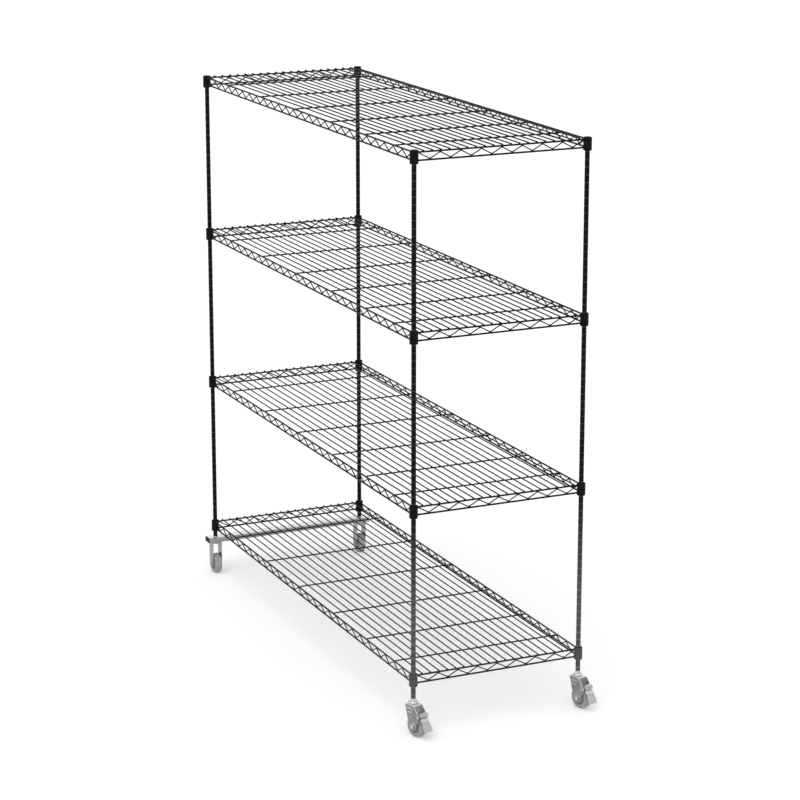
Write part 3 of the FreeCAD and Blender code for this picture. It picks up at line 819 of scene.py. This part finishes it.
class SHELVING_OT_wheel_cores(bpy.types.Operator):
    """Model a moulded wheel core with ribs and put one in every wheel"""

    bl_idname = "shelving.wheel_cores"
    bl_label = "Wheel cores"

    def execute(self, context):
        sizes = context.scene.shelving_sizes
        core = self.make_core()
        combine(core, self.make_ribs(sizes), "UNION")
        smooth(core)
        for end, side, _, wheel, trail, heading, place in casters():
            piece = on_caster(core, f"{end}_core_{side}", trail, heading, place)
            dress(piece, wheel, "core_plastic", f"{end}_wheel_core_{side}")
        drop(core)
        return {"FINISHED"}

    def make_core(self):
        """Hub, web and rim with drawn sides and eased edges."""
        bore, hub, web = 6.1 * MM, 12 * MM, 4.5 * MM
        rim_in = CORE_RADIUS - 5 * MM
        hub_end, rim_end = -HUB_HALF_WIDTH, -WHEEL_HALF_WIDTH
        ease = 0.7 * MM
        low = [(bore, hub_end + ease), (bore + ease, hub_end), (hub - ease, hub_end),
               (hub, hub_end + ease), (hub + ease, -web - 2 * ease), (hub + 3 * ease, -web),
               (rim_in - 2 * ease, -web), (rim_in, -web - 2 * ease), (rim_in + ease, rim_end + ease),
               (rim_in + 2 * ease, rim_end), (CORE_RADIUS - ease, rim_end), (CORE_RADIUS, rim_end + ease)]
        high = [(radius, -height) for radius, height in reversed(low)]
        return turned_piece("core", ring(low + high), steps=72)

    def make_ribs(self, sizes):
        """Ribs from hub to rim, on both sides of the web: one block tapered, then spun round."""
        clear_selection()
        bpy.ops.mesh.primitive_cube_add(size=MM)
        ribs = bpy.context.object
        bpy.ops.object.mode_set(mode="EDIT")
        bpy.ops.mesh.select_all(action="SELECT")
        long, high = 13.6, 19
        reach = 18.2 * MM
        outer_taper = (1, 0.75, 0.8)
        bpy.ops.transform.resize(value=(long, sizes.rib_width / MM, high))
        bpy.ops.transform.translate(value=(reach, 0, 0))
        pick_vertices(ribs, lambda vertex: vertex.co.x > reach)
        bpy.ops.transform.resize(value=outer_taper)
        bpy.ops.mesh.select_all(action="SELECT")
        others = sizes.rib_count - 1
        bpy.ops.mesh.spin(dupli=True, steps=others, angle=2 * math.pi * others / sizes.rib_count,
                          center=(0, 0, 0), axis=(0, 0, 1))
        close_skin()
        return ribs


class SHELVING_OT_axle_fasteners(bpy.types.Operator):
    """Model an axle bolt and a nut with turned corners and put them on every caster"""

    bl_idname = "shelving.axle_fasteners"
    bl_label = "Axle fasteners"

    def execute(self, context):
        sizes = context.scene.shelving_sizes
        kinds = {"bolt": self.make_bolt(sizes), "nut": self.make_nut(sizes)}
        for kind, template in kinds.items():
            rear = []
            for end, side, body, _, trail, heading, place in casters():
                piece = on_caster(template, f"{end}_{kind}_{side}", trail, heading, place)
                if end == "front":
                    dress(piece, body, "fastener_zinc", f"front_axle_{kind}_{side}")
                else:
                    rear.append(piece)
            dress(join(rear), "frame", "fastener_zinc", f"rear_axle_{kind}s")
        drop(*kinds.values())
        return {"FINISHED"}

    def make_bolt(self, sizes):
        """Hexagon head at the low end and a shank with a few turns of thread past the nut."""
        head, past_fork, tip = 5 * MM, 9 * MM, 0.5 * MM
        turns, first, pitch, depth = 6, 0.8 * MM, 1.25 * MM, 0.6 * MM
        bolt = hexagon("bolt", sizes.hex_axle, head)
        settle(bolt, (0, 0, -FORK_HALF_WIDTH), (math.pi, 0, 0))
        shank = sizes.axle / 2
        root = shank - depth
        start, end = -FORK_HALF_WIDTH - MM, FORK_HALF_WIDTH + past_fork
        profile = [(0, start), (shank, start)]
        for turn in range(turns):
            crest = FORK_HALF_WIDTH + first + turn * pitch
            profile += [(shank, crest), (root, crest + depth)]
        profile += [(root, end - tip), (root - tip, end), (0, end)]
        combine(bolt, turned_piece("shank", profile, steps=40), "UNION")
        smooth(bolt)
        return bolt

    def make_nut(self, sizes):
        """Hexagon nut turned at both ends, with a countersunk bore."""
        high, sink = 6.5 * MM, 0.7 * MM
        nut = hexagon("nut", sizes.hex_axle, high, both_ends=True)
        bore = sizes.axle / 2 + 0.05 * MM
        mouth = bore + sink + MM
        profile = [(0, -MM), (mouth, -MM), (bore, sink), (bore, high - sink),
                   (mouth, high + MM), (0, high + MM)]
        combine(nut, turned_piece("bore", profile, steps=40), "DIFFERENCE")
        smooth(nut)
        return settle(nut, (0, 0, FORK_HALF_WIDTH))


class SHELVING_OT_swivel_heads(bpy.types.Operator):
    """Model the stem with its hexagon and the pressed race cup, and put them on the swivel casters"""

    bl_idname = "shelving.swivel_heads"
    bl_label = "Swivel heads"

    def execute(self, context):
        sizes = context.scene.shelving_sizes
        kinds = {"caster_stem": self.make_stem(sizes), "race_cup": self.make_cup(sizes)}
        for kind, template in kinds.items():
            for side in SIDES:
                piece = on_swivel(template, f"modelled_{kind}_{side}", side)
                dress(piece, "frame", "fastener_zinc", f"{kind}_{side}")
        drop(*kinds.values())
        return {"FINISHED"}

    def make_stem(self, sizes):
        """Hexagon turned at both ends on a stem that reaches up into the post."""
        foot, top = STEM_ENDS
        hexagon_height = 7 * MM
        stem = settle(hexagon("stem", sizes.hex_stem, hexagon_height, both_ends=True), (0, 0, RACE_TOP))
        shank = sizes.stem / 2
        ease = 0.8 * MM
        profile = [(0, foot), (shank - ease, foot), (shank, foot + ease), (shank, top - ease),
                   (shank - ease, top), (0, top)]
        combine(stem, turned_piece("shank", profile, steps=48), "UNION")
        smooth(stem)
        return stem

    def make_cup(self, sizes):
        """Cup pressed from sheet, its skirt round the balls."""
        bore = sizes.stem / 2 + 0.02 * MM
        skirt, outer = 14.7 * MM, 16.3 * MM
        inner_bend, bend, ease = MM, 2.4 * MM, 0.4 * MM
        foot = SWIVEL_CROWN + 0.5 * MM
        under = RACE_TOP - 2.9 * MM
        profile = [(bore, under), (skirt - inner_bend, under), (skirt, under - inner_bend), (skirt, foot),
                   (outer - ease, foot), (outer, foot + ease)]
        profile += arc((outer - bend, RACE_TOP - bend), bend, 0, 90)
        profile += [(bore + ease, RACE_TOP), (bore, RACE_TOP - ease)]
        cup = turned_piece("cup", ring(profile))
        smooth(cup)
        return cup


class SHELVING_OT_brake_pins(bpy.types.Operator):
    """Model a riveted brake pin with domed heads and put one in each swivel fork"""

    bl_idname = "shelving.brake_pins"
    bl_label = "Brake pins"

    def execute(self, context):
        sizes = context.scene.shelving_sizes
        shank = sizes.pin / 2
        head = shank + 1.5 * MM
        face = FORK_HALF_WIDTH
        half = [(shank, face), (head, face), (head, face + 0.4 * MM), (0.8 * head, face + 1.1 * MM),
                (0.5 * head, face + 1.5 * MM), (0, face + 1.6 * MM)]
        profile = [(radius, -height) for radius, height in reversed(half)] + half
        pin = turned_piece("pin", profile, steps=32)
        smooth(pin)
        settle(pin, (BRAKE_REACH, 0, BRAKE_AT.z), (-math.pi / 2, 0, 0))
        for side in SIDES:
            piece = on_swivel(pin, "modelled_pin_" + side, side)
            dress(piece, "caster_" + side, "fastener_zinc", "brake_pin_" + side)
        drop(pin)
        return {"FINISHED"}


class SHELVING_OT_fork_pressings(bpy.types.Operator):
    """Press a ring round the axle and two level swages into both legs of every fork"""

    bl_idname = "shelving.fork_pressings"
    bl_label = "Fork pressings"

    def execute(self, context):
        sizes = context.scene.shelving_sizes
        boss = self.make_boss(sizes)
        swages = {depth: self.make_swage(sizes, length) for depth, length in SWAGES}
        for end, side, body, _, trail, heading, place in casters():
            crown = SWIVEL_CROWN if end == "front" else RIGID_CROWN
            pieces = []
            for face in (-1, 1):
                turn = (-face * math.pi / 2, 0, 0)
                out = face * FORK_HALF_WIDTH
                pieces.append(settle(copy_of(boss, "boss"), (trail, out, WHEEL_RADIUS), turn))
                for depth, swage in swages.items():
                    at = (SWAGE_SHIFT * trail, out, crown - depth)
                    pieces.append(settle(copy_of(swage, "swage"), at, turn))
            piece = settle(join(pieces), place, (0, 0, heading))
            piece.name = f"fork_pressings_{end}_{side}"
            dress(piece, body, "fork_zinc")
        drop(boss, *swages.values())
        return {"FINISHED"}

    def make_boss(self, sizes):
        """Raised ring with sloping sides round the axle's hole."""
        high = sizes.press_height
        sunk = -0.3 * MM
        profile = [(7.9 * MM, sunk), (8.1 * MM, 0.8 * high), (8.5 * MM, high), (10.4 * MM, high),
                   (11 * MM, 0.75 * high), (11.9 * MM, 0), (12.1 * MM, sunk)]
        boss = turned_piece("boss", ring(profile), steps=48)
        smooth(boss)
        return boss

    def make_swage(self, sizes, length):
        """Level rib with sloping sides, half of it in the leg, of a length in millimetres."""
        width, thickness = 9, 4 * sizes.press_height / MM
        slopes = (0.86, 0.2)
        return tapered_bar((length, width, thickness), slopes, 0.5 * MM)


class SHELVING_OT_pedal_ribs(bpy.types.Operator):
    """Raise gripping ribs across both foot pedals"""

    bl_idname = "shelving.pedal_ribs"
    bl_label = "Pedal ribs"

    def execute(self, context):
        sizes = context.scene.shelving_sizes
        slope = PEDAL_TIP - PEDAL_TOP
        along = slope.normalized()
        out = Vector((-along.y, along.x))
        tilt = math.atan2(out.x, out.y)
        width, thickness, margin = 2.6, 2.2, 3
        slopes = (0.6, 0.97)
        rib = tapered_bar((width, sizes.pedal_width / MM - 2 * margin, thickness), slopes, 0.4 * MM)
        ribs = []
        for share in PEDAL_RIBS:
            at = PEDAL_TOP + share * slope + PEDAL_HALF_PLATE * out
            ribs.append(settle(copy_of(rib, "rib"), (at.x, 0, at.y), (0, tilt, 0)))
        grip = join(ribs)
        for side in SIDES:
            piece = on_swivel(grip, "pedal_ribs_" + side, side)
            dress(piece, "brake_" + side, "pedal_zinc")
        drop(rib, grip)
        return {"FINISHED"}


class SHELVING_OT_stage(bpy.types.Operator):
    """White floor and world, a large soft light and the camera"""

    bl_idname = "shelving.stage"
    bl_label = "Stage"

    def execute(self, context):
        studio = context.scene.shelving_studio
        self.add_floor(studio)
        self.add_world(context.scene, studio)
        self.add_key(studio)
        self.add_camera(context.scene, studio)
        context.scene.view_settings.view_transform = "Standard"
        return {"FINISHED"}

    def add_floor(self, studio):
        """Wide plane that keeps the shadow."""
        clear_selection()
        wide = 120
        bpy.ops.mesh.primitive_plane_add(size=wide)
        floor = bpy.context.object
        floor.name = "studio_floor"
        material = bpy.data.materials.new("studio_floor_finish")
        material.use_nodes = True
        nodes = material.node_tree.nodes
        nodes.clear()
        output = nodes.new("ShaderNodeOutputMaterial")
        paint = nodes.new("ShaderNodeBsdfDiffuse")
        paint.inputs["Color"].default_value = studio.floor
        glow = nodes.new("ShaderNodeEmission")
        both = nodes.new("ShaderNodeAddShader")
        links = material.node_tree.links
        links.new(self.seen(material.node_tree, 0, studio.lift), glow.inputs["Strength"])
        links.new(paint.outputs["BSDF"], both.inputs[0])
        links.new(glow.outputs["Emission"], both.inputs[1])
        links.new(both.outputs["Shader"], output.inputs["Surface"])
        floor.data.materials.append(material)

    def add_world(self, scene, studio):
        """White to the eye and in reflections, softer as a light."""
        world = bpy.data.worlds.new("studio_world")
        world.use_nodes = True
        background = world.node_tree.nodes["Background"]
        background.inputs["Color"].default_value = (1, 1, 1, 1)
        strength = self.seen(world.node_tree, studio.ambient, 1)
        world.node_tree.links.new(strength, background.inputs["Strength"])
        scene.world = world

    def seen(self, tree, unseen, strength):
        """One strength for what is seen, directly or in metal or glass, and another for its light."""
        path = tree.nodes.new("ShaderNodeLightPath")
        seen = path.outputs["Is Camera Ray"]
        for name in ("Is Glossy Ray", "Is Transmission Ray"):
            either = tree.nodes.new("ShaderNodeMath")
            either.operation = "MAXIMUM"
            tree.links.new(seen, either.inputs[0])
            tree.links.new(path.outputs[name], either.inputs[1])
            seen = either.outputs["Value"]
        choice = tree.nodes.new("ShaderNodeMapRange")
        choice.inputs["To Min"].default_value = unseen
        choice.inputs["To Max"].default_value = strength
        tree.links.new(seen, choice.inputs["Value"])
        return choice.outputs["Result"]

    def add_key(self, studio):
        """Broad soft light from above, a little from the left and the front."""
        clear_selection()
        bpy.ops.object.light_add(type="SUN", location=(0, 0, 4))
        key = bpy.context.object
        key.name = "key_light"
        key.data.energy = studio.key
        softness = math.radians(50)
        fall = Vector((0.32, 0.38, -1))
        key.data.angle = softness
        key.rotation_euler = fall.to_track_quat("-Z", "Y").to_euler()

    def add_camera(self, scene, studio):
        """The photograph's camera, aimed at the middle of the unit."""
        clear_selection()
        bpy.ops.object.camera_add(location=studio.eye)
        camera = bpy.context.object
        camera.data.lens = studio.lens
        look = Vector(studio.aim) - Vector(studio.eye)
        camera.rotation_euler = look.to_track_quat("-Z", "Y").to_euler()
        scene.camera = camera


class SHELVING_PT_panel(bpy.types.Panel):
    """Lists the unit's operators"""

    bl_idname = "SHELVING_PT_panel"
    bl_label = "Wire shelving"
    bl_space_type = "VIEW_3D"
    bl_region_type = "UI"
    bl_category = "Shelving"

    def draw(self, context):
        for operator in OPERATORS:
            self.layout.operator(operator.bl_idname)


GROUPS = {
    "shelving_finishes": ShelvingFinishes,
    "shelving_sizes": ShelvingSizes,
    "shelving_studio": ShelvingStudio,
}
OPERATORS = (
    SHELVING_OT_finish_solids,
    SHELVING_OT_weld_beads,
    SHELVING_OT_post_caps,
    SHELVING_OT_treads,
    SHELVING_OT_wheel_cores,
    SHELVING_OT_axle_fasteners,
    SHELVING_OT_swivel_heads,
    SHELVING_OT_brake_pins,
    SHELVING_OT_fork_pressings,
    SHELVING_OT_pedal_ribs,
    SHELVING_OT_stage,
)


def register():
    for cls in (*GROUPS.values(), *OPERATORS, SHELVING_PT_panel):
        bpy.utils.register_class(cls)
    for name, group in GROUPS.items():
        setattr(bpy.types.Scene, name, PointerProperty(type=group))


def unregister():
    for name in GROUPS:
        delattr(bpy.types.Scene, name)
    for cls in reversed((*GROUPS.values(), *OPERATORS, SHELVING_PT_panel)):
        bpy.utils.unregister_class(cls)


def main():
    """Dress the unit."""
    register()
    bpy.ops.shelving.finish_solids()
    bpy.ops.shelving.weld_beads()
    bpy.ops.shelving.post_caps()
    bpy.ops.shelving.treads()
    bpy.ops.shelving.wheel_cores()
    bpy.ops.shelving.axle_fasteners()
    bpy.ops.shelving.swivel_heads()
    bpy.ops.shelving.brake_pins()
    bpy.ops.shelving.fork_pressings()
    bpy.ops.shelving.pedal_ribs()
    bpy.ops.shelving.stage()


if __name__ == "__main__":
    main()
